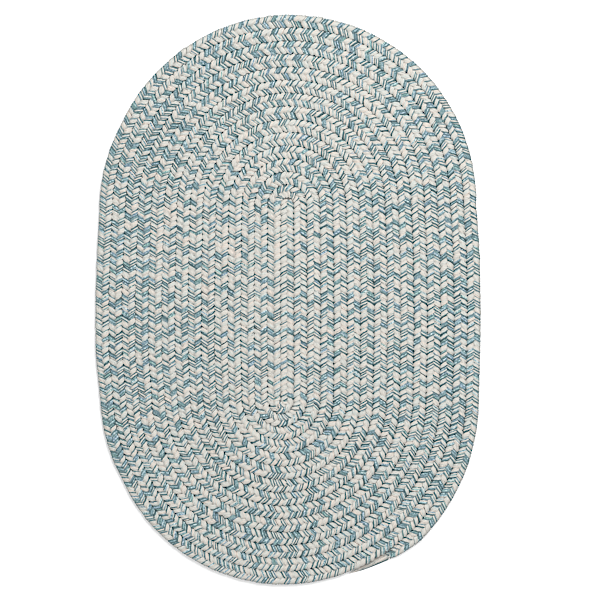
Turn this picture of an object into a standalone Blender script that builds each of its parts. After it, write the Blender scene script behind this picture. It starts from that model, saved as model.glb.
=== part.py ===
"""Braided rug: one long flat braid, coiled into an oval and laced row to row.

The braid starts at the middle of the rug with a rounded butt end. It runs down
the fold line, turns back on itself, and then winds clockwise, as seen from
above, row outside row. Its last stretch is tapered off along the outer edge, at
the lower right.

Units are metres, +Z is up. The rug lies on z = 0 with its long axis along Y, and
the origin is the middle of its underside.
"""
import math

import bpy

# Driving sizes.
THICKNESS = 0.0095       # the braid lying flat, underside to crown
MEAN_PITCH = 0.0207      # from the middle of one row to the middle of the next
LACING_GAP = 0.0004      # what the lacing leaves open between two rows
FOLD_LENGTH = 0.3112     # straight stretch that the first two rows lie along
FOLD_EYE = 0.0022        # inner radius of the braid's first, tightest turn
WHOLE_TURNS = 14         # times that the braid goes all the way round

# One turn is four legs of length 1: down the right side, round the lower end, up
# the left side and round the upper end. A station is a place along these legs.
RIGHT_SIDE, LOWER_END, LEFT_SIDE, UPPER_END, LEGS = 0, 1, 2, 3, 4
SIDE_STEPS = 4
END_STEPS = 20

# The rows are laced a little tighter in some places than in others, which gives
# the rug its slightly uneven outline.
# station on the turn, pitch of the rows there
ROW_PITCHES = (
    (0.00, 0.02065),     # right side, upper shoulder
    (0.25, 0.02103),
    (0.60, 0.02114),     # right side, widest
    (1.00, 0.02092),     # right side, lower shoulder
    (1.25, 0.02085),
    (1.50, 0.02078),     # lower end
    (1.70, 0.02040),
    (1.85, 0.01998),     # lower left, pulled in most
    (2.00, 0.02035),     # left side, lower shoulder
    (2.25, 0.02089),
    (2.55, 0.02090),     # left side, widest
    (3.00, 0.02046),     # left side, upper shoulder
    (3.15, 0.02010),
    (3.50, 0.02068),     # upper end
    (3.75, 0.02080),
    (4.00, 0.02065),     # back at the right side's upper shoulder
)

# The braid thins out over its last stretch.
# station on the last turn, share of the full width that is left there
TAIL_TAPER = (
    (1.25, 1.00),
    (1.29, 0.78),
    (1.33, 0.47),
    (1.36, 0.30),
    (1.39, 0.14),
)

# The butt end of the braid is rounded off.
# distance past the first row's start and share of full width, both by half a row
BUTT_END = (
    (0.92, 0.36),
    (0.62, 0.76),
    (0.30, 0.94),
)

# The braid's cross-section: a flat underside, round sides and a low crown.
# half width and height, as shares of the braid's half width and of its thickness
SECTION = (
    (0.55, 0.0),
    (1.00, 0.34),
    (0.86, 0.76),
    (0.36, 1.0),
)
HEIGHT_RATIO = THICKNESS / (MEAN_PITCH / 2)

RUG_COLOUR = (0.468, 0.510, 0.494, 1.0)
RUG_ROUGHNESS = 0.92


def blend(table, station):
    """Read a table of (station, value) rows, straight from row to row."""
    for (start, low), (end, high) in zip(table, table[1:]):
        if station <= end:
            share = (station - start) / (end - start)
            return low + (high - low) * share
    return table[-1][1]


def row_frame(station):
    """Where the rows are counted from at a station, and which way they lie.

    Returns the point they are counted from, the unit direction across the rows,
    and how many pitches from the point the first turn's row has its middle.
    """
    leg = int(station)
    share = station - leg
    upper = (0.0, FOLD_LENGTH / 2)
    lower = (-MEAN_PITCH / 2, -FOLD_LENGTH / 2)
    if leg == RIGHT_SIDE:
        start, end, angle, count = upper, lower, 0.0, share / 2
    elif leg == LOWER_END:
        start, end, angle, count = lower, lower, -math.pi * share, 0.5
    elif leg == LEFT_SIDE:
        start, end, angle, count = lower, upper, math.pi, 0.5 + share / 2
    else:
        start, end, angle, count = upper, upper, math.pi * (1 - share), 1.0
    point = (start[0] + (end[0] - start[0]) * share, start[1] + (end[1] - start[1]) * share)
    return point, (math.cos(angle), math.sin(angle)), count


def place(turn, station):
    """Middle of the braid and its half width, at a station of one of the turns."""
    point, across, count = row_frame(station)
    pitch = blend(ROW_PITCHES, station)
    half_width = (pitch - LACING_GAP) / 2
    offset = (turn + count) * pitch
    if turn == 0 and LOWER_END <= station <= LEFT_SIDE:
        outer_edge = pitch - LACING_GAP / 2
        half_width = (outer_edge - FOLD_EYE) / 2
        offset = FOLD_EYE + half_width
    if turn == WHOLE_TURNS and station > TAIL_TAPER[0][0]:
        inner_edge = offset - half_width
        half_width *= blend(TAIL_TAPER, station)
        offset = inner_edge + half_width
    return point[0] + across[0] * offset, point[1] + across[1] * offset, half_width


def stations_of_turn(turn):
    """Stations along one turn, the same ones on each so that rows stay parallel."""
    stations = []
    for leg, steps in enumerate((SIDE_STEPS, END_STEPS, SIDE_STEPS, END_STEPS)):
        stations += [leg + step / steps for step in range(steps)]
    if turn == 0:
        near_fold = 0.07
        stations += [LOWER_END - near_fold, LEFT_SIDE, LEFT_SIDE + near_fold]
        stations = sorted(set(stations))
    if turn == WHOLE_TURNS:
        full_width_to = TAIL_TAPER[0][0]
        stations = [station for station in stations if station < full_width_to]
        stations += [station for station, share in TAIL_TAPER]
    return stations


def braid_centreline():
    """Points down the middle of the braid: x, y and half width, start to tail."""
    start_x, start_y, half_width = place(0, 0.0)
    points = [
        (start_x, start_y + half_width * distance, half_width * share)
        for distance, share in BUTT_END
    ]
    for turn in range(WHOLE_TURNS + 1):
        points += [place(turn, station) for station in stations_of_turn(turn)]
    return points


def centred(points):
    """Move the points so that the rug's outline is centred on the origin."""
    left = min(x - half_width for x, y, half_width in points)
    right = max(x + half_width for x, y, half_width in points)
    low = min(y - half_width for x, y, half_width in points)
    high = max(y + half_width for x, y, half_width in points)
    middle = ((left + right) / 2, (low + high) / 2)
    return [(x - middle[0], y - middle[1], half_width) for x, y, half_width in points]


def poly_curve(name, points, cyclic):
    """A curve object on one straight-edged spline through (x, y, z, radius) points."""
    curve = bpy.data.curves.new(name, "CURVE")
    curve.dimensions = "3D"
    spline = curve.splines.new("POLY")
    spline.points.add(len(points) - 1)
    for spline_point, (x, y, z, radius) in zip(spline.points, points):
        spline_point.co = (x, y, z, 1.0)
        spline_point.radius = radius
    spline.use_cyclic_u = cyclic
    spline.use_smooth = True
    return bpy.data.objects.new(name, curve)


def fabric_material(name):
    material = bpy.data.materials.new(name)
    material.use_nodes = True
    shader = material.node_tree.nodes["Principled BSDF"]
    shader.inputs["Base Color"].default_value = RUG_COLOUR
    shader.inputs["Roughness"].default_value = RUG_ROUGHNESS
    shader.inputs["Metallic"].default_value = 0.0
    material.diffuse_color = RUG_COLOUR
    return material


def braid_section(collection):
    """Outline that is swept along the braid, for a half width of 1 at radius 1."""
    right = [(side, (up - 0.5) * HEIGHT_RATIO, 0.0, 1.0) for side, up in SECTION]
    left = [(-x, y, z, radius) for x, y, z, radius in right]
    section = poly_curve("braid_section", left + right[::-1], cyclic=True)
    section.hide_render = True
    section.display_type = "WIRE"
    collection.objects.link(section)
    return section


def coiled_braid(collection, section):
    """The whole braid: the section swept along the coil, its underside on z = 0."""
    points = [
        (x, y, half_width * HEIGHT_RATIO / 2, half_width)
        for x, y, half_width in centred(braid_centreline())
    ]
    braid = poly_curve("coiled_braid", points, cyclic=False)
    braid.data.twist_mode = "Z_UP"
    braid.data.bevel_mode = "OBJECT"
    braid.data.bevel_object = section
    braid.data.use_fill_caps = True
    braid.data.materials.append(fabric_material("braided_yarn"))
    collection.objects.link(braid)
    return braid


def new_collection(name):
    collection = bpy.data.collections.new(name)
    bpy.context.scene.collection.children.link(collection)
    return collection


def main():
    for old in list(bpy.data.objects):
        bpy.data.objects.remove(old, do_unlink=True)
    rug = new_collection("braided_rug")
    guides = new_collection("guides")
    coiled_braid(rug, braid_section(guides))


main()
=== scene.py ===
"""Braided rug: every yarn of a long three-strand braid, coiled into an oval and laced row to row.

The braid follows the coil of the fixed solid. Each strand is a ribbon of yarn ends side by side. An end
rises to the top face at the middle of the row, runs slanting out to the row's edge, folds over it and comes
back underneath, so both faces of the rug show the same chevrons.

Lengths are metres. The rug lies on z = 0 with its long axis along Y.
"""
import math

import bpy
import numpy as np
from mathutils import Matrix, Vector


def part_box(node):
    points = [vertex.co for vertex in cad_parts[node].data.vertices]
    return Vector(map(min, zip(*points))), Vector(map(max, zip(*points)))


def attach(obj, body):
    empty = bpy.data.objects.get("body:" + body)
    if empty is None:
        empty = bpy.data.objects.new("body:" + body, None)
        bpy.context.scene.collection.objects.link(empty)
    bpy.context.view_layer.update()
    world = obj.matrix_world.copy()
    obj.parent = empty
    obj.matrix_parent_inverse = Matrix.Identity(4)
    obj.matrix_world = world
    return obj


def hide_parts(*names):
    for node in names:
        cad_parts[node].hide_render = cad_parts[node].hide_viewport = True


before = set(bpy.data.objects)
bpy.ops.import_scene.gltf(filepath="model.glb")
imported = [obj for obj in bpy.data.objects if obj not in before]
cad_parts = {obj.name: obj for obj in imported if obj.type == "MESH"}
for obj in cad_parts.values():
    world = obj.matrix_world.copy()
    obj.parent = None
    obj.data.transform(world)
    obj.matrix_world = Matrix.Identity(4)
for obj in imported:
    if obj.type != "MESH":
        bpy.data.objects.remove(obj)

bl_info = {
    "name": "Braided rug",
    "version": (1, 0, 0),
    "blender": (4, 5, 0),
    "location": "3D View > Sidebar > Rug",
    "description": "Makes a coiled three-strand braided rug, yarn by yarn",
    "category": "Add Mesh",
}

SOLID = "coiled_braid"
SOLID_LOW, SOLID_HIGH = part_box(SOLID)

# The coil, as the solid has it.
MEAN_PITCH = 0.0207
LACING_GAP = 0.0004
FOLD_LENGTH = 0.3112
FOLD_EYE = 0.0022
WHOLE_TURNS = 14
RIGHT_SIDE, LOWER_END, LEFT_SIDE, UPPER_END, LEGS = 0, 1, 2, 3, 4
STATIONS_PER_LEG = 100
# curvature at which the rows have opened by all of OPENING_ON_CURVES, per metre
TIGHT_CURVATURE = 3.0

# station on the turn, pitch of the rows there
ROW_PITCHES = (
    (0.00, 0.02065),
    (0.25, 0.02103),
    (0.60, 0.02114),
    (1.00, 0.02092),
    (1.25, 0.02085),
    (1.50, 0.02078),
    (1.70, 0.02040),
    (1.85, 0.01998),
    (2.00, 0.02035),
    (2.25, 0.02089),
    (2.55, 0.02090),
    (3.00, 0.02046),
    (3.15, 0.02010),
    (3.50, 0.02068),
    (3.75, 0.02080),
    (4.00, 0.02065),
)

# station on the last turn, share of the full width that is left there
TAIL_TAPER = (
    (1.25, 1.00),
    (1.29, 0.78),
    (1.33, 0.47),
    (1.36, 0.30),
    (1.39, 0.14),
)

# distance past the first row's start and share of full width, both by half a row
BUTT_END = (
    (0.92, 0.36),
    (0.62, 0.76),
    (0.30, 0.94),
)

# Half a repeat of the plait, as one yarn end runs through it. The other half is the same with the side's
# sign turned. The end comes up at the middle of the row, lies on the top face, folds over the row's edge in
# the third and fourth steps and goes straight back underneath. Between the last step and the next half's
# first it rises through the middle of the braid.
# way through the half repeat, way across to the row's edge, height as a share of the full rise, how far
# the strand's first end lies above its last, how widely its ends are spread, and how much of EDGE_DRAW
# its outer ends are drawn back from the row's edge by
PLAIT_STEPS = (
    (0.04, 0.04, 0.96, 0.6, 0.90, 0.0),
    (0.25, 0.50, 1.00, 0.2, 1.03, 0.0),
    (0.46, 0.97, 0.62, 0.0, 0.84, 0.6),
    (0.54, 0.97, -0.74, 0.0, 0.84, 0.6),
    (0.96, 0.04, -0.98, -0.6, 0.92, 0.0),
)
STEPS_PER_HALF = len(PLAIT_STEPS)
STEPS_PER_REPEAT = 2 * STEPS_PER_HALF
STEPS_PER_STRAY = 3
EDGE_DRAW = 0.0017

# How far stitches reach past the edge of their row into the next one, how much less where the rows curve,
# and how far at the rug's rim. The braid is at the rim from RIM_STATION of its last whole turn on, and its
# ends are spread there by RIM_SPREAD at least.
ROW_OVERLAP = 0.0009
OPENING_ON_CURVES = 0.0002
RIM_OVERLAP = 0.0002
RIM_STATION = 1.36
RIM_SPREAD = 0.95
# way across from which a step is part of the fold
FOLD_FROM = 0.9

RING_SIDES = 4
STRANDS = ("first_strand", "second_strand", "third_strand")

# The ends of a strand, side by side. An end is dyed where the braid is bluer than its threshold.
# threshold, depth of the dye from pale to deep, how far the end stands proud
STRAND_ENDS = (
    (0.85, 0.50, -0.0002),
    (0.35, 0.80, 0.0002),
    (0.95, 0.50, 0.0002),
    # the last end, dyed more often and deeper, partly stands in as painted shade along the legs' edge
    (-0.10, 0.90, -0.0002),
)
LAST_END = len(STRAND_ENDS) - 1
DEPTH_SPREAD = 0.12
LEAST_DEPTH = 0.25
# how far the yarn on the folds at the rug's rim is mixed with the colour of the core, as painted shade
PAINTED_RIM_SHADE = 0.5

# The blueness, and how much each part of its drift adds to it: a wave shared by both edges of the braid,
# one for each edge, short clusters, each end's own drift, each strand's own, and strays.
BLUENESS_AT_MIDDLE = -0.20
BLUENESS_AT_RIM = 0.40
STRAND_BLUENESS = ((0.38, -0.38), (0.10, 0.15), (-0.48, 0.23))
WAVE_SHARE = 0.28
SIDE_SHARE = 0.24
CLUSTER_SHARE = 0.08
END_SHARE = 0.98
STRAND_SHARE = 0.43
STRAY_SHARE = 0.20
# how much of its value each drift keeps from one half repeat, or one stitch on the same edge, to the next
WAVE_KEPT = 0.89
CLUSTER_KEPT = 0.6
OWN_KEPT = 0.86

# How far a strand strays from its even place, and each of its ends from the strand, by the unevenness.
STRAND_STRAYS = {"along": 1.6, "lift": 0.5, "sway": 0.9}
END_STRAYS = {"along": 0.6, "lift": 0.4, "sway": 0.6}
WIDTH_STRAY = 0.12

# How far the plait runs ahead of its even place or behind it, in repeats, and how soon that changes and
# up to what length of braid, in metres
PLAIT_WANDER = 0.28
WANDER_STRETCH = 0.42
WANDER_LENGTH = 30.0

# Where the braid ends, some ends come loose and lie side by side along the row inside them. The others
# stop inside the last stitches.
# strand, end, station where it comes loose, way across, height of its underside, station where it stops, dye
LOOSE_ENDS = (
    (0, 0, 1.300, 0.55, 0.0010, 1.380, 0.0),
    (0, 2, 1.304, -0.10, 0.0030, 1.366, 0.0),
    (1, 0, 1.300, 0.95, 0.0002, 1.372, 0.95),
    (1, 2, 1.306, -0.85, 0.0006, 1.372, 0.0),
    (2, 0, 1.302, 0.20, 0.0034, 1.345, 0.0),
    (2, 2, 1.298, -0.45, 0.0016, 1.384, 0.0),
)
STATION_OF_LAST_STITCH = 1.312
# how far from the end of the braid all yarn stops, the length over which an end comes loose and the share
# of it after which the end has its loose dye, and the length over which a tip thins and what is left of it
END_MARGIN = 0.0005
RELEASE_LENGTH = 0.010
RELEASED_DYE = 0.3
TAPER_LENGTH = 0.01
THINNEST_TIP = 0.4
# where the braid narrows, the least share of its thickness, and of a yarn's radius and how soon that falls
LEAST_THICKNESS = 0.35
LEAST_RADIUS = 0.55
RADIUS_FALL = 1.6

# The heart of the braid: the sides of its tube, the length from ring to ring, where it starts and how far
# before the last stitch it stops, its height as a share of half the thickness, and how far it reaches past
# the row's edge. From CORE_RIM_STATION of the last whole turn on, it stops short of the edge instead.
CORE_SIDES = 8
CORE_SPACING = 0.012
CORE_START = 0.004
CORE_STOP = 0.012
CORE_HEIGHT = 0.3
CORE_OVERLAP = 0.0002
CORE_RIM_INSET = 0.0011
CORE_RIM_STATION = 1.3

# Light from above, and what a floor throws back under the rug's rim.
SKY_LIGHT = 0.92
FLOOR_LIGHT = 0.22

SEED = 29


class RugSizes(bpy.types.PropertyGroup):
    """Sizes of the braid and its yarns"""

    thickness: bpy.props.FloatProperty(
        name="Thickness", description="Underside to crown of the braid, lying flat",
        default=SOLID_HIGH[2], min=0.004, max=0.03, unit="LENGTH")
    plait_repeat: bpy.props.FloatProperty(
        name="Plait repeat", description="Length of braid in which one strand comes back to the same edge",
        default=0.026, min=0.01, max=0.1, unit="LENGTH")
    end_spacing: bpy.props.FloatProperty(
        name="End spacing", description="From one yarn end to the next, along the row",
        default=0.00212, min=0.001, max=0.01, unit="LENGTH")
    yarn_radius: bpy.props.FloatProperty(
        name="Yarn radius", description="Half the width of one yarn end",
        default=0.00107, min=0.0005, max=0.004, unit="LENGTH")
    crown: bpy.props.FloatProperty(
        name="Crown", description="Room left above and below for the ends that stand proud",
        default=0.0003, min=0.0, max=0.003, unit="LENGTH")
    ride_up: bpy.props.FloatProperty(
        name="Ride up", description="How far an end rides up over the next where strands cross",
        default=0.0009, min=0.0, max=0.003, unit="LENGTH")
    unevenness: bpy.props.FloatProperty(
        name="Unevenness", description="How far the ends stray from their even places",
        default=0.0003, min=0.0, max=0.002, unit="LENGTH")


class YarnColours(bpy.types.PropertyGroup):
    """Colours of the yarns"""

    cream: bpy.props.FloatVectorProperty(
        name="Cream", description="Undyed yarn", subtype="COLOR", size=4, min=0, max=1,
        default=(0.542, 0.524, 0.483, 1.0))
    cool_cream: bpy.props.FloatVectorProperty(
        name="Cool cream", description="Undyed yarn where it is greyer", subtype="COLOR", size=4,
        min=0, max=1, default=(0.50, 0.53, 0.504, 1.0))
    warm_cream: bpy.props.FloatVectorProperty(
        name="Warm cream", description="Undyed yarn where it is warmer", subtype="COLOR", size=4,
        min=0, max=1, default=(0.60, 0.528, 0.468, 1.0))
    sea_green: bpy.props.FloatVectorProperty(
        name="Sea green", description="Greenest of the dyed yarn", subtype="COLOR", size=4, min=0, max=1,
        default=(0.21, 0.385, 0.34, 1.0))
    teal: bpy.props.FloatVectorProperty(
        name="Teal", description="Middle tone of the dyed yarn", subtype="COLOR", size=4, min=0, max=1,
        default=(0.242, 0.376, 0.43, 1.0))
    slate: bpy.props.FloatVectorProperty(
        name="Slate blue", description="Bluest of the dyed yarn", subtype="COLOR", size=4, min=0, max=1,
        default=(0.23, 0.32, 0.448, 1.0))
    deep: bpy.props.FloatVectorProperty(
        name="Deep blue", description="Dark fibres spun into the dyed yarn", subtype="COLOR", size=4,
        min=0, max=1, default=(0.077, 0.139, 0.150, 1.0))
    fleck: bpy.props.FloatVectorProperty(
        name="Fleck", description="Pale fibres spun into the dyed yarn", subtype="COLOR", size=4,
        min=0, max=1, default=(0.56, 0.66, 0.665, 1.0))
    # The core colour also serves as painted shade, mixed into the yarn in its ply creases and on the rim's
    # folds.
    core: bpy.props.FloatVectorProperty(
        name="Core", description="Yarn in the heart of the braid", subtype="COLOR", size=4, min=0, max=1,
        default=(0.05, 0.08, 0.085, 1.0))


class StageSettings(bpy.types.PropertyGroup):
    """Floor, lights and camera"""

    floor: bpy.props.FloatVectorProperty(
        name="Floor", description="Colour of the studio floor", subtype="COLOR", size=4, min=0, max=1,
        default=(0.95, 0.95, 0.95, 1.0))
    field: bpy.props.FloatProperty(
        name="Field", description="Width of the floor that the camera takes in, at the rug's top",
        default=0.948, min=0.1, max=10.0, unit="LENGTH")
    sharpening: bpy.props.FloatProperty(
        name="Sharpening", description="How far the picture's edges are crisped", default=0.15, min=0, max=1)
    camera_x: bpy.props.FloatProperty(
        name="Camera across", description="How far the camera hangs to the right of the rug's middle",
        default=0.0186, unit="LENGTH")
    camera_y: bpy.props.FloatProperty(
        name="Camera along", description="How far the camera hangs above the rug's middle, along the rug",
        default=-0.0006, unit="LENGTH")


# ---------------------------------------------------------------- the coil


def blend(table, station):
    """Read a table of (station, value) rows, straight from row to row."""
    for (start, low), (end, high) in zip(table, table[1:]):
        if station <= end:
            share = (station - start) / (end - start)
            return low + (high - low) * share
    return table[-1][1]


def row_frame(station):
    """Where the rows are counted from at a station, which way they lie, and the first row's count."""
    leg = min(int(station), UPPER_END)
    share = station - leg
    upper = (0.0, FOLD_LENGTH / 2)
    lower = (-MEAN_PITCH / 2, -FOLD_LENGTH / 2)
    if leg == RIGHT_SIDE:
        start, end, angle, count = upper, lower, 0.0, share / 2
    elif leg == LOWER_END:
        start, end, angle, count = lower, lower, -math.pi * share, 0.5
    elif leg == LEFT_SIDE:
        start, end, angle, count = lower, upper, math.pi, 0.5 + share / 2
    else:
        start, end, angle, count = upper, upper, math.pi * (1 - share), 1.0
    point = (start[0] + (end[0] - start[0]) * share, start[1] + (end[1] - start[1]) * share)
    return point, (math.cos(angle), math.sin(angle)), count


def place(turn, station):
    """Middle of the braid, its half width and the share of full width, at a station of a turn."""
    point, across, count = row_frame(station)
    pitch = blend(ROW_PITCHES, station)
    half_width = (pitch - LACING_GAP) / 2
    offset = (turn + count) * pitch
    share = 1.0
    if turn == 0 and LOWER_END <= station <= LEFT_SIDE:
        outer_edge = pitch - LACING_GAP / 2
        half_width = (outer_edge - FOLD_EYE) / 2
        offset = FOLD_EYE + half_width
    if turn == WHOLE_TURNS and station > TAIL_TAPER[0][0]:
        share = blend(TAIL_TAPER, station)
        inner_edge = offset - half_width
        half_width *= share
        offset = inner_edge + half_width
    return point[0] + across[0] * offset, point[1] + across[1] * offset, half_width, share


class Coil:
    """The braid's path, read by the length from its start."""

    def __init__(self):
        first_x, first_y, half_width, share = place(0, 0.0)
        rows = [
            (first_x, first_y + half_width * distance, half_width * share, share)
            for distance, share in BUTT_END
        ]
        for turn in range(WHOLE_TURNS + 1):
            last = TAIL_TAPER[-1][0] if turn == WHOLE_TURNS else LEGS
            for step in range(LEGS * STATIONS_PER_LEG):
                station = step / STATIONS_PER_LEG
                if station <= last:
                    rows.append(place(turn, station))
        x, y, half_width, share = np.array(rows).T
        low_x, high_x = (x - half_width).min(), (x + half_width).max()
        low_y, high_y = (y - half_width).min(), (y + half_width).max()
        self.x = x - (low_x + high_x) / 2 + (SOLID_LOW[0] + SOLID_HIGH[0]) / 2
        self.y = y - (low_y + high_y) / 2 + (SOLID_LOW[1] + SOLID_HIGH[1]) / 2
        steps = np.hypot(np.diff(self.x), np.diff(self.y))
        self.along = np.concatenate(([0.0], np.cumsum(steps)))
        self.length = self.along[-1]
        self.half_width = half_width + LACING_GAP / 2
        self.share = share
        run_x = np.gradient(self.x, self.along)
        run_y = np.gradient(self.y, self.along)
        run = np.hypot(run_x, run_y)
        self.out_x, self.out_y = -run_y / run, run_x / run
        heading = np.unwrap(np.arctan2(run_y, run_x))
        self.curved = np.clip(np.abs(np.gradient(heading, self.along)) / TIGHT_CURVATURE, 0, 1)

    def read(self, values, along):
        """Values along the coil, such as self.share, read at lengths from its start."""
        return np.interp(along, self.along, values)

    def point(self, along, side, height):
        """World points at a length along the braid, a distance to its outer side and a height."""
        out_x, out_y = self.read(self.out_x, along), self.read(self.out_y, along)
        size = np.hypot(out_x, out_y)
        x = self.read(self.x, along) + out_x / size * side
        y = self.read(self.y, along) + out_y / size * side
        return np.stack([x, y, height], axis=-1)

    def length_at(self, turn, station):
        """Length from the start of the braid to a station of a turn."""
        row = len(BUTT_END) + int((turn * LEGS + station) * STATIONS_PER_LEG)
        return self.along[min(row, len(self.along) - 1)]


# ---------------------------------------------------------------- meshes


def ring_mesh(name, tubes, ring_sides):
    """One mesh of closed tubes. Each tube is (points, first axis, second axis, values, along).

    points are the middles of its rings, and the two axes reach from there to the ring's wide and high
    sides. values is a dict of attribute name to one number a ring.
    """
    turns = (np.arange(ring_sides) + 0.5) / ring_sides * 2 * math.pi
    ring_cos, ring_sin = np.cos(turns), np.sin(turns)
    corners, faces, starts, uvs, values = [], [], [], [], {}
    corner_count = loop_count = 0
    for points, wide, high, tube_values, along in tubes:
        rings = len(points)
        places = (points[:, None] + wide[:, None] * ring_cos[None, :, None]
                  + high[:, None] * ring_sin[None, :, None])
        corners.append(places.reshape(-1, 3))
        index = corner_count + np.arange(rings * ring_sides).reshape(rings, ring_sides)
        following = np.roll(index, -1, axis=1)
        quads = np.stack([index[:-1], following[:-1], following[1:], index[1:]], axis=-1)
        first_cap, last_cap = index[0][::-1], index[-1]
        faces += [quads.reshape(-1), first_cap, last_cap]
        quad_count = (rings - 1) * ring_sides
        starts.append(loop_count + 4 * np.arange(quad_count))
        cap_start = loop_count + 4 * quad_count
        starts.append(np.array([cap_start, cap_start + ring_sides]))
        around = np.arange(ring_sides + 1) / ring_sides
        low, high_side = np.broadcast_arrays(around[None, :-1], around[None, 1:])
        low, high_side = (np.repeat(a, rings - 1, axis=0) for a in (low, high_side))
        here = np.repeat(along[:-1, None], ring_sides, axis=1)
        there = np.repeat(along[1:, None], ring_sides, axis=1)
        quad_uv = np.stack([
            np.stack([here, low], -1), np.stack([here, high_side], -1),
            np.stack([there, high_side], -1), np.stack([there, low], -1)], axis=2)
        cap_uv = np.stack([np.full(ring_sides, along[0]), around[:-1]], -1)
        last_uv = np.stack([np.full(ring_sides, along[-1]), around[:-1]], -1)
        uvs += [quad_uv.reshape(-1, 2), cap_uv[::-1], last_uv]
        for key, value in tube_values.items():
            values.setdefault(key, []).append(np.repeat(value, ring_sides))
        corner_count += rings * ring_sides
        loop_count = cap_start + 2 * ring_sides
    mesh = bpy.data.meshes.new(name)
    corners = np.concatenate(corners)
    faces = np.concatenate(faces)
    starts = np.concatenate(starts)
    mesh.vertices.add(len(corners))
    mesh.vertices.foreach_set("co", corners.ravel())
    mesh.loops.add(len(faces))
    mesh.loops.foreach_set("vertex_index", faces.astype(np.int32))
    mesh.polygons.add(len(starts))
    mesh.polygons.foreach_set("loop_start", starts.astype(np.int32))
    mesh.polygons.foreach_set("use_smooth", np.ones(len(starts), dtype=bool))
    uv_layer = mesh.uv_layers.new(name="along_yarn")
    uv_layer.data.foreach_set("uv", np.concatenate(uvs).ravel())
    for key, parts in values.items():
        attribute = mesh.attributes.new(key, "FLOAT", "POINT")
        attribute.data.foreach_set("value", np.concatenate(parts))
    mesh.update(calc_edges=True)
    mesh.validate()
    return mesh


def add_piece(name, mesh, material):
    """A finished piece at the origin, in the scene, riding with the rug."""
    piece = bpy.data.objects.new(name, mesh)
    bpy.context.scene.collection.objects.link(piece)
    mesh.materials.append(material)
    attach(piece, "root")
    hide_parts(SOLID)
    return piece


def section_axes(points):
    """Unit vectors across a tube's path and square to both, for each of its points."""
    run = np.gradient(points, axis=0)
    run /= np.linalg.norm(run, axis=1, keepdims=True)
    wide = np.cross(run, np.array([0.0, 0.0, 1.0]))
    wide /= np.maximum(np.linalg.norm(wide, axis=1, keepdims=True), 1e-9)
    high = np.cross(wide, run)
    return wide, high


# ---------------------------------------------------------------- yarn ends


def spread_out(draw, steps):
    """Random values, one every few steps, spread smoothly over the steps."""
    count = steps // STEPS_PER_STRAY + 3
    return np.interp(np.arange(steps) / STEPS_PER_STRAY, np.arange(count), draw(count))


def strays(rng, sizes, shares, steps):
    """How far yarn strays from its even place along the braid, in height and across, step by step."""
    stray = sizes.unevenness
    return {key: spread_out(lambda count: rng.normal(0, stray * share, count), steps)
            for key, share in shares.items()}


def drifting(rng, count, kept):
    """Random values that drift: each keeps a share of the one before, with a spread of 1."""
    fresh = rng.normal(0, math.sqrt(1 - kept * kept), count)
    value, values = rng.normal(), []
    for step in fresh:
        value = kept * value + step
        values.append(value)
    return np.array(values)


def drifting_wave(rng, count):
    """A wave's size and place in the repeat, as complex numbers that drift."""
    return drifting(rng, count, WAVE_KEPT) + 1j * drifting(rng, count, WAVE_KEPT)


def peaked(wave):
    """A wave with narrow crests and wide troughs."""
    return wave.real + 0.5 * (wave * wave).real / np.maximum(np.abs(wave), 1e-6)


class Drift:
    """What drifts along the braid: how blue its stitches are, and how far the plait is from its even place.

    The dyed yarn gathers at one part of the repeat, on both edges of the braid, and that part drifts. On top
    of it each end of a strand has its own drift, and so has the strand, in the last row of self.own.
    """

    def __init__(self, repeats):
        rng = np.random.default_rng(SEED)
        self.at = np.arange(-4, repeats + 4, 0.5)
        count = len(self.at)
        self.wave = drifting_wave(rng, count)
        self.sides = [drifting_wave(rng, count) for side in range(2)]
        self.cluster = drifting(rng, count, CLUSTER_KEPT)
        stitches = 2 * repeats + 2
        self.own = np.empty((len(STRANDS), len(STRAND_ENDS) + 1, stitches))
        for own in self.own.reshape(-1, stitches):
            for edge in range(2):
                own[edge::2] = drifting(rng, len(own[edge::2]), OWN_KEPT)
        self.own -= self.own.mean(axis=0)
        self.wander_at = np.arange(0.0, WANDER_LENGTH, WANDER_STRETCH)
        self.wander = PLAIT_WANDER * rng.normal(0, 1, len(self.wander_at))

    def blueness(self, strand, side, position):
        """Blueness of a strand's stitches at positions in repeats, before strays. side is 0 or 1 each."""
        turn = np.exp(-2j * math.pi * position)
        shared = np.interp(position, self.at, self.wave) * turn
        of_side = np.where(side == 0, np.interp(position, self.at, self.sides[0]),
                           np.interp(position, self.at, self.sides[1])) * turn
        base = np.array(STRAND_BLUENESS[strand])[side]
        return (WAVE_SHARE * peaked(shared) + SIDE_SHARE * peaked(of_side) + base
                + CLUSTER_SHARE * np.interp(position, self.at, self.cluster))

    def own_blueness(self, strand, end):
        """What an end's own drift and its strand's add to the blueness, stitch by stitch."""
        return END_SHARE * self.own[strand, end] + STRAND_SHARE * self.own[strand, -1]

    def wandered(self, along, repeat):
        """Lengths along an even plait, moved to where the plait really is."""
        return along + repeat * np.interp(along, self.wander_at, self.wander)


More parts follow.
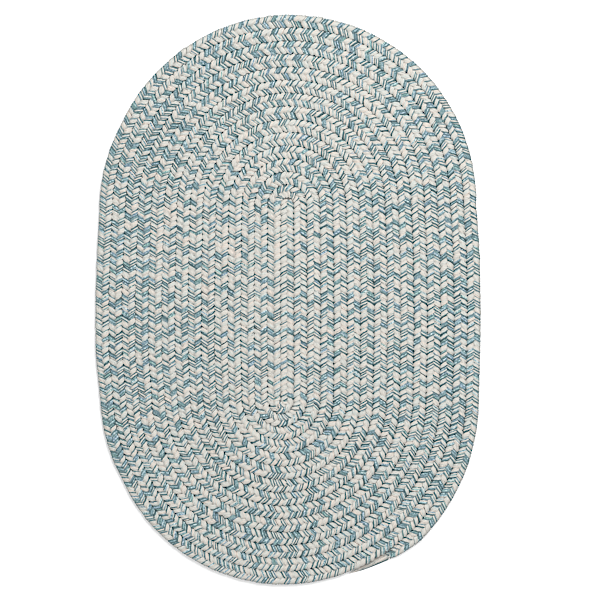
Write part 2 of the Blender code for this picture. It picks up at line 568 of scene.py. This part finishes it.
def yarn_end(coil, sizes, rng, strand, end, stray_of_strand, blueness, drift):
    """One yarn end from the start of the braid to its tail, as a tube for ring_mesh."""
    repeat = sizes.plait_repeat
    steps = len(stray_of_strand["along"])
    step = np.arange(steps) - STEPS_PER_REPEAT
    half = step // STEPS_PER_HALF
    way, side, rise, lean, spread, draw = np.array(PLAIT_STEPS)[step % STEPS_PER_HALF].T
    side = side * np.where(half % 2 == 0, 1.0, -1.0)
    threshold, depth, proud = STRAND_ENDS[end]
    order = end - LAST_END / 2
    along = drift.wandered(((half + way) / 2 - strand / len(STRANDS)) * repeat, repeat)
    at_rim = (along > coil.length_at(WHOLE_TURNS - 1, RIM_STATION)) & (side > 0)
    spread = np.where(at_rim, np.maximum(spread, RIM_SPREAD), spread)
    draw = np.where(at_rim, 0.0, draw)
    along = along + order * sizes.end_spacing * spread + stray_of_strand["along"]
    stray_along = spread_out(lambda n: rng.normal(0, sizes.unevenness * END_STRAYS["along"], n), steps)
    along = along + stray_along
    width = spread_out(lambda n: rng.uniform(1 - WIDTH_STRAY, 1 + WIDTH_STRAY, n), steps)
    stray_lift = spread_out(lambda n: rng.normal(0, sizes.unevenness * END_STRAYS["lift"], n), steps)
    lift = stray_lift + stray_of_strand["lift"]
    stray_sway = spread_out(lambda n: rng.normal(0, sizes.unevenness * END_STRAYS["sway"], n), steps)
    sway = stray_sway + stray_of_strand["sway"]
    dye = end_dye(rng, blueness + drift.own_blueness(strand, end), half, threshold, depth)
    tone = np.repeat(rng.random(steps // STEPS_PER_HALF + 1), STEPS_PER_HALF)[:steps]
    # edge is 1 on the folds at the rug's rim, where the material paints shade onto the yarn
    edge = np.where(at_rim & (np.abs(side) > FOLD_FROM), 1.0, 0.0)
    keep = (along > 0.0) & (along < coil.length - END_MARGIN)
    along, side, rise, lean, draw, at_rim, width, lift, sway, dye, tone, edge = only(
        keep, along, side, rise, lean, draw, at_rim, width, lift, sway, dye, tone, edge)
    along = np.maximum.accumulate(along + 1e-6 * np.arange(len(along)))

    share = coil.read(coil.share, along)
    half_width = coil.read(coil.half_width, along)
    radius = sizes.yarn_radius * width * np.clip(share * RADIUS_FALL, LEAST_RADIUS, 1.0)
    overlap = ROW_OVERLAP - OPENING_ON_CURVES * coil.read(coil.curved, along)
    reach = half_width - radius + np.where(at_rim, RIM_OVERLAP, overlap) * share
    reach = reach - EDGE_DRAW * draw * share * (2 * order / LAST_END) ** 2
    middle = sizes.thickness / 2 * np.clip(share, LEAST_THICKNESS, 1.0)
    full_rise = middle - radius - sizes.crown
    height = middle + rise * full_rise + np.sign(rise) * (proud + lift)
    height = height + order * lean * sizes.ride_up * share
    lateral = side * reach + sway

    loose = [row[2:] for row in LOOSE_ENDS if row[:2] == (strand, end)]
    if loose:
        (loose_from, way_across, underside, last_station, loose_dye), = loose
        free = np.clip((along - coil.length_at(WHOLE_TURNS, loose_from)) / RELEASE_LENGTH, 0, 1)
        free = free * free * (3 - 2 * free)
        lateral = lateral * (1 - free) + np.clip(half_width - radius, 0, None) * way_across * free
        height = height * (1 - free) + (radius + underside) * free
        dye = np.where(free > RELEASED_DYE, loose_dye, dye)
        ends_at = coil.length_at(WHOLE_TURNS, last_station)
    else:
        ends_at = coil.length_at(WHOLE_TURNS, STATION_OF_LAST_STITCH) + sizes.unevenness * order
    along, radius, lateral, height, dye, tone, edge = only(
        along < ends_at, along, radius, lateral, height, dye, tone, edge)
    radius = radius * np.clip((ends_at - along) / TAPER_LENGTH, THINNEST_TIP, 1.0)
    height = np.clip(height, radius, sizes.thickness - radius)

    points = coil.point(along, lateral, height)
    wide, high = section_axes(points)
    to_corner = (radius / math.cos(math.pi / RING_SIDES))[:, None]
    return points, wide * to_corner, high * to_corner, {"dye": dye, "tone": tone, "edge": edge}, along


def only(chosen, *columns):
    """The columns, with only the steps that are chosen."""
    return [values[chosen] for values in columns]


def end_dye(rng, blueness, half, threshold, depth):
    """How deeply an end is dyed at each step: 0 where it is cream. It is even within a stitch."""
    depths = np.clip(depth + rng.normal(0, DEPTH_SPREAD, len(blueness)), LEAST_DEPTH, 1.0)
    per_half = np.where(blueness > threshold, depths, 0.0)
    return per_half[half - half[0]]


def cut_tube(tube, start, end):
    """The stretch of a tube between two lengths along the braid, with a ring shared at the cut."""
    points, wide, high, values, along = tube
    first, last = np.searchsorted(along, (start, end))
    part = slice(max(first - 1, 0), last)
    return (points[part], wide[part], high[part],
            {key: value[part] for key, value in values.items()}, along[part])


# ---------------------------------------------------------------- materials


def node(tree, kind, inputs=(), **settings):
    """A shader node with its settings, and links or values for its inputs."""
    made = tree.nodes.new(kind)
    for key, value in settings.items():
        setattr(made, key, value)
    for key, value in dict(inputs).items():
        if isinstance(value, bpy.types.NodeSocket):
            tree.links.new(value, made.inputs[key])
        else:
            made.inputs[key].default_value = value
    return made


def math_node(tree, operation, first, second=0.0, clamp=False):
    """The output of a Math node on two links or values."""
    made = node(tree, "ShaderNodeMath", {0: first, 1: second}, operation=operation, use_clamp=clamp)
    return made.outputs[0]


def mix_colours(tree, share, first, second):
    """The first colour, turned into the second by the share."""
    made = node(tree, "ShaderNodeMix", data_type="RGBA")
    for socket, value in zip((made.inputs[0], made.inputs[6], made.inputs[7]), (share, first, second)):
        if isinstance(value, bpy.types.NodeSocket):
            tree.links.new(value, socket)
        else:
            socket.default_value = value
    return made.outputs[2]


def new_group(name, inputs, outputs):
    """A shader node group with (name, kind, default) inputs and (name, kind) outputs."""
    group = bpy.data.node_groups.new(name, "ShaderNodeTree")
    for socket_name, kind, default in inputs:
        socket = group.interface.new_socket(socket_name, in_out="INPUT", socket_type=kind)
        if default is not None:
            socket.default_value = default
    for socket_name, kind in outputs:
        group.interface.new_socket(socket_name, in_out="OUTPUT", socket_type=kind)
    return group, group.nodes.new("NodeGroupInput"), group.nodes.new("NodeGroupOutput")


def ply_twist_group():
    """Two plies twisted together: their height, and the crease where they meet, for painted shade."""
    group, given, result = new_group(
        "Ply twist",
        [("Turns per metre", "NodeSocketFloat", 170.0), ("Plies", "NodeSocketFloat", 2.0)],
        [("Height", "NodeSocketFloat"), ("Crease", "NodeSocketFloat")])
    place_on_yarn = node(group, "ShaderNodeUVMap", uv_map="along_yarn").outputs[0]
    split = node(group, "ShaderNodeSeparateXYZ", {0: place_on_yarn})
    turned = math_node(group, "MULTIPLY", split.outputs[0], given.outputs["Turns per metre"])
    turned = math_node(group, "ADD", turned, split.outputs[1])
    angle = math_node(group, "MULTIPLY", turned, given.outputs["Plies"])
    wave = math_node(group, "SINE", math_node(group, "MULTIPLY", angle, math.pi))
    height = math_node(group, "ABSOLUTE", wave)
    crease = math_node(group, "POWER", math_node(group, "SUBTRACT", 1.0, height), 3.0)
    group.links.new(height, result.inputs["Height"])
    group.links.new(crease, result.inputs["Crease"])
    return group


def fibre_group():
    """Spun fibres: soft mottling for colour, and fine hairs for height."""
    group, given, result = new_group(
        "Spun fibre",
        [("Mottle scale", "NodeSocketFloat", 330.0), ("Hair scale", "NodeSocketFloat", 2600.0)],
        [("Mottle", "NodeSocketFloat"), ("Hairs", "NodeSocketFloat")])
    where = node(group, "ShaderNodeTexCoord").outputs["Object"]
    mottle = node(group, "ShaderNodeTexNoise", {
        "Vector": where, "Scale": given.outputs["Mottle scale"], "Detail": 3.0, "Roughness": 0.65})
    spread = node(group, "ShaderNodeMapRange", {
        "Value": mottle.outputs["Fac"], "From Min": 0.38, "From Max": 0.62})
    hairs = node(group, "ShaderNodeTexNoise", {
        "Vector": where, "Scale": given.outputs["Hair scale"], "Detail": 2.0, "Roughness": 0.6})
    group.links.new(spread.outputs["Result"], result.inputs["Mottle"])
    group.links.new(hairs.outputs["Fac"], result.inputs["Hairs"])
    return group


def new_material(name, colour):
    """A material, its node tree and its shader."""
    material = bpy.data.materials.new(name)
    material.use_nodes = True
    material.diffuse_color = colour
    return material, material.node_tree, material.node_tree.nodes["Principled BSDF"]


def scaled(colour, share):
    """The same colour, darker or lighter."""
    return tuple(min(1.0, share * value) for value in colour[:3]) + (1.0,)


def ramp(tree, share, colours):
    """A colour ramp with its colours evenly spaced."""
    made = node(tree, "ShaderNodeValToRGB", {0: share})
    stops = made.color_ramp.elements
    while len(stops) < len(colours):
        stops.new(0.5)
    for number, (stop, colour) in enumerate(zip(stops, colours)):
        stop.position = number / (len(colours) - 1)
        stop.color = colour
    return made.outputs[0]


def yarn_material(name, colours, groups):
    """Matt spun yarn: cream where the attribute dye is 0, then heather blue, and deep blue at 1.

    The attribute tone picks the shade of each stitch. Where edge is 1, on the folds at the rug's rim, the
    yarn is mixed towards the core colour as painted shade.
    """
    material, tree, shader = new_material(name, colours.cream)
    twist = node(tree, "ShaderNodeGroup", node_tree=groups["twist"])
    fibre = node(tree, "ShaderNodeGroup", node_tree=groups["fibre"])
    dye = node(tree, "ShaderNodeAttribute", attribute_name="dye").outputs["Fac"]
    tone = node(tree, "ShaderNodeAttribute", attribute_name="tone").outputs["Fac"]
    mottle = fibre.outputs["Mottle"]
    creams = (colours.cool_cream, colours.cream, colours.cream, colours.warm_cream)
    undyed_colour = ramp(tree, tone, creams)
    greyed = scaled(colours.cool_cream, 0.7)
    undyed_colour = mix_colours(tree, math_node(tree, "MULTIPLY", mottle, 0.15), undyed_colour, greyed)
    dyed_colour = ramp(tree, tone, (colours.sea_green, colours.teal, colours.teal, colours.slate))
    light = node(tree, "ShaderNodeMapRange", {"Value": mottle, "From Min": 0.5, "From Max": 1.0})
    dyed_colour = mix_colours(tree, light.outputs["Result"], dyed_colour, colours.fleck)
    deep = node(tree, "ShaderNodeMapRange", {"Value": dye, "From Min": 0.4, "From Max": 0.95})
    deep_fleck = node(tree, "ShaderNodeMapRange", {"Value": mottle, "From Min": 0.4, "From Max": 0.0})
    deep_share = math_node(tree, "MAXIMUM", deep.outputs["Result"], deep_fleck.outputs["Result"])
    dyed_colour = mix_colours(tree, deep_share, dyed_colour, colours.deep)
    is_dyed = math_node(tree, "MULTIPLY", dye, 4.0, clamp=True)
    colour = mix_colours(tree, is_dyed, undyed_colour, dyed_colour)
    # Painted shade in the creases between the plies: the yarn there is mixed a little towards the core
    # colour.
    crease = math_node(tree, "MULTIPLY", twist.outputs["Crease"], 0.15)
    colour = mix_colours(tree, crease, colour, colours.core)
    # Painted shade on the folds at the rug's rim: the yarn there is mixed towards the core colour.
    edge = node(tree, "ShaderNodeAttribute", attribute_name="edge").outputs["Fac"]
    rim_shade = math_node(tree, "MULTIPLY", math_node(tree, "POWER", edge, 3.0), PAINTED_RIM_SHADE)
    colour = mix_colours(tree, rim_shade, colour, colours.core)
    tree.links.new(colour, shader.inputs["Base Color"])
    roughness = node(tree, "ShaderNodeMapRange", {
        "Value": fibre.outputs["Hairs"], "To Min": 0.82, "To Max": 0.97})
    tree.links.new(roughness.outputs["Result"], shader.inputs["Roughness"])
    height = math_node(tree, "MULTIPLY", fibre.outputs["Hairs"], 0.25)
    height = math_node(tree, "ADD", height, math_node(tree, "MULTIPLY", twist.outputs["Height"], 0.8))
    bump = node(tree, "ShaderNodeBump", {"Height": height, "Strength": 0.7, "Distance": 0.0004})
    tree.links.new(bump.outputs["Normal"], shader.inputs["Normal"])
    shader.inputs["Specular IOR Level"].default_value = 0.25
    shader.inputs["Sheen Weight"].default_value = 0.1
    shader.inputs["Sheen Roughness"].default_value = 0.6
    return material


def core_shade_material(colours, groups):
    """Dark yarn in the heart of the braid, as painted shade where it shows deep between the yarns."""
    material, tree, shader = new_material("core_yarn_and_shade", colours.core)
    fibre = node(tree, "ShaderNodeGroup", node_tree=groups["fibre"])
    lighter = scaled(colours.core, 2.4)
    share = math_node(tree, "MULTIPLY", fibre.outputs["Mottle"], 0.6)
    tree.links.new(mix_colours(tree, share, colours.core, lighter), shader.inputs["Base Color"])
    bump = node(tree, "ShaderNodeBump", {
        "Height": fibre.outputs["Hairs"], "Strength": 0.6, "Distance": 0.0003})
    tree.links.new(bump.outputs["Normal"], shader.inputs["Normal"])
    shader.inputs["Roughness"].default_value = 0.95
    shader.inputs["Specular IOR Level"].default_value = 0.2
    return material


def floor_material(stage):
    """Pale matt studio floor, with a trace of unevenness."""
    material, tree, shader = new_material("studio_floor", stage.floor)
    where = node(tree, "ShaderNodeTexCoord").outputs["Object"]
    cloud = node(tree, "ShaderNodeTexNoise", {"Vector": where, "Scale": 2.0, "Detail": 2.0})
    duller = scaled(stage.floor, 0.99)
    tree.links.new(mix_colours(tree, cloud.outputs["Fac"], stage.floor, duller), shader.inputs["Base Color"])
    shader.inputs["Roughness"].default_value = 0.9
    shader.inputs["Specular IOR Level"].default_value = 0.1
    return material


def shared_groups():
    """The node groups that the yarns share, built once."""
    if "Ply twist" not in bpy.data.node_groups:
        ply_twist_group()
        fibre_group()
    return {"twist": bpy.data.node_groups["Ply twist"], "fibre": bpy.data.node_groups["Spun fibre"]}


# ---------------------------------------------------------------- operators


class RUG_OT_core(bpy.types.Operator):
    """Make the heart of the braid, which shows only deep between the yarns, dark there as painted shade"""

    bl_idname = "rug.core"
    bl_label = "Braid core"

    def execute(self, context):
        sizes = context.scene.rug_sizes
        coil = Coil()
        end = coil.length_at(WHOLE_TURNS, STATION_OF_LAST_STITCH) - CORE_STOP
        along = np.linspace(CORE_START, end, int(coil.length / CORE_SPACING))
        at_rim = along > coil.length_at(WHOLE_TURNS - 1, CORE_RIM_STATION)
        outer_inset = np.where(at_rim, CORE_RIM_INSET, -CORE_OVERLAP)
        half_width = coil.read(coil.half_width, along) - (outer_inset - CORE_OVERLAP) / 2
        share = np.clip(coil.read(coil.share, along), LEAST_THICKNESS, 1)
        middle = sizes.thickness / 2 * share
        points = coil.point(along, -(outer_inset + CORE_OVERLAP) / 2, middle)
        wide, high = section_axes(points)
        to_corner = 1 / math.cos(math.pi / CORE_SIDES)
        wide = wide * (half_width * to_corner)[:, None]
        high = high * (middle * CORE_HEIGHT)[:, None]
        mesh = ring_mesh("braid_core", [(points, wide, high, {}, along)], CORE_SIDES)
        core = add_piece("braid_core", mesh, core_shade_material(context.scene.rug_colours, shared_groups()))
        return {"FINISHED"}


class RUG_OT_strands(bpy.types.Operator):
    """Plait the three strands along the whole coil, each in two pieces"""

    bl_idname = "rug.strands"
    bl_label = "Braided strands"

    def execute(self, context):
        sizes, colours = context.scene.rug_sizes, context.scene.rug_colours
        coil = Coil()
        groups = shared_groups()
        half_way = coil.length / 2
        material = yarn_material("heather_yarn", colours, groups)
        repeats = int(coil.length / sizes.plait_repeat) + 4
        drift = Drift(repeats)
        for strand, name in enumerate(STRANDS):
            rng = np.random.default_rng(SEED + 1 + strand)
            halves = np.arange(-2, 2 * repeats)
            position = (halves + 0.25) / 2 - strand / len(STRANDS)
            outward = np.sqrt(np.clip(position / repeats, 0, 1))
            blueness = drift.blueness(strand, halves % 2, position)
            blueness += BLUENESS_AT_MIDDLE + (BLUENESS_AT_RIM - BLUENESS_AT_MIDDLE) * outward
            blueness += STRAY_SHARE * rng.normal(0, 1, len(halves))
            stray_of_strand = strays(rng, sizes, STRAND_STRAYS, len(halves) * STEPS_PER_HALF)
            ends = [yarn_end(coil, sizes, rng, strand, end, stray_of_strand, blueness, drift)
                    for end in range(len(STRAND_ENDS))]
            for part, start, end in (("inner", 0.0, half_way), ("outer", half_way, coil.length)):
                piece_name = f"{name}_{part}"
                tubes = [cut_tube(tube, start, end) for tube in ends]
                add_piece(piece_name, ring_mesh(piece_name, tubes, RING_SIDES), material)
        return {"FINISHED"}


class RUG_OT_stage(bpy.types.Operator):
    """Lay the floor and set up the lights and the camera"""

    bl_idname = "rug.stage"
    bl_label = "Floor, lights and camera"

    def execute(self, context):
        stage = context.scene.rug_stage
        bpy.ops.object.select_all(action="DESELECT")
        bpy.ops.mesh.primitive_plane_add(size=8.0, location=(0, 0, 0))
        floor = context.object
        floor.name = "studio_floor"
        floor.data.materials.append(floor_material(stage))
        floor.visible_diffuse = False
        world = bpy.data.worlds.new("studio")
        world.use_nodes = True
        world.node_tree.nodes["Background"].inputs["Color"].default_value = (1, 1, 1, 1)
        light_the_sky(world.node_tree, SKY_LIGHT, FLOOR_LIGHT)
        context.scene.world = world
        for name, place_at, size, power in (
                ("key_light", (0.75, 1.5, 2.3), 1.3, 62.0),
                ("fill_light", (-1.2, -1.4, 2.6), 1.6, 10.0)):
            bpy.ops.object.light_add(type="AREA", location=place_at)
            light = context.object
            light.name = name
            light.data.size = size
            light.data.energy = power
            aim_at_middle(light)
        lens, sensor = 100.0, 36.0
        height = stage.field / 2 * lens / (sensor / 2) + SOLID_HIGH[2]
        bpy.ops.object.camera_add(location=(stage.camera_x, stage.camera_y, height), rotation=(0, 0, 0))
        camera = context.object
        camera.name = "camera_above"
        camera.data.lens = lens
        camera.data.sensor_width = sensor
        camera.data.clip_end = 20.0
        camera.data.dof.use_dof = False
        context.scene.camera = camera
        context.scene.view_settings.view_transform = "Standard"
        sharpen_picture(context.scene, stage.sharpening)
        return {"FINISHED"}


def light_the_sky(tree, strength, returned):
    """Soft light from above, and from below the little that is returned under the rug's rim."""
    direction = node(tree, "ShaderNodeTexCoord").outputs["Generated"]
    height = node(tree, "ShaderNodeSeparateXYZ", {0: direction}).outputs["Z"]
    above = node(tree, "ShaderNodeMapRange", {
        "Value": height, "From Min": -0.02, "From Max": 0.02, "To Min": returned, "To Max": strength})
    tree.links.new(above.outputs["Result"], tree.nodes["Background"].inputs["Strength"])


def sharpen_picture(scene, share):
    """Crisp the edges of the picture a little."""
    scene.use_nodes = True
    tree = scene.node_tree
    tree.nodes.clear()
    layers = tree.nodes.new("CompositorNodeRLayers")
    sharpen = tree.nodes.new("CompositorNodeFilter")
    sharpen.filter_type = "SHARPEN_DIAMOND"
    sharpen.inputs["Fac"].default_value = share
    result = tree.nodes.new("CompositorNodeComposite")
    tree.links.new(layers.outputs["Image"], sharpen.inputs["Image"])
    tree.links.new(sharpen.outputs["Image"], result.inputs["Image"])


def aim_at_middle(light):
    """Turn a light towards the middle of the rug."""
    light.rotation_mode = "QUATERNION"
    light.rotation_quaternion = (-light.location).to_track_quat("-Z", "Y")


class RUG_PT_panel(bpy.types.Panel):
    """Sizes, colours and steps of the rug"""

    bl_idname = "RUG_PT_panel"
    bl_label = "Braided rug"
    bl_space_type = "VIEW_3D"
    bl_region_type = "UI"
    bl_category = "Rug"

    def draw(self, context):
        for settings in (context.scene.rug_sizes, context.scene.rug_colours, context.scene.rug_stage):
            for key in settings.bl_rna.properties.keys():
                if key not in ("rna_type", "name"):
                    self.layout.prop(settings, key)
        for operator in OPERATORS:
            self.layout.operator(operator.bl_idname)


SETTINGS = (("rug_sizes", RugSizes), ("rug_colours", YarnColours), ("rug_stage", StageSettings))
OPERATORS = (RUG_OT_strands, RUG_OT_core, RUG_OT_stage)


def register():
    for name, settings in SETTINGS:
        bpy.utils.register_class(settings)
        setattr(bpy.types.Scene, name, bpy.props.PointerProperty(type=settings))
    for made in (*OPERATORS, RUG_PT_panel):
        bpy.utils.register_class(made)


def unregister():
    for made in (RUG_PT_panel, *reversed(OPERATORS)):
        bpy.utils.unregister_class(made)
    for name, settings in reversed(SETTINGS):
        delattr(bpy.types.Scene, name)
        bpy.utils.unregister_class(settings)


def main():
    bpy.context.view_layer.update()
    register()
    bpy.ops.rug.strands()
    bpy.ops.rug.core()
    bpy.ops.rug.stage()


if __name__ == "__main__":
    main()
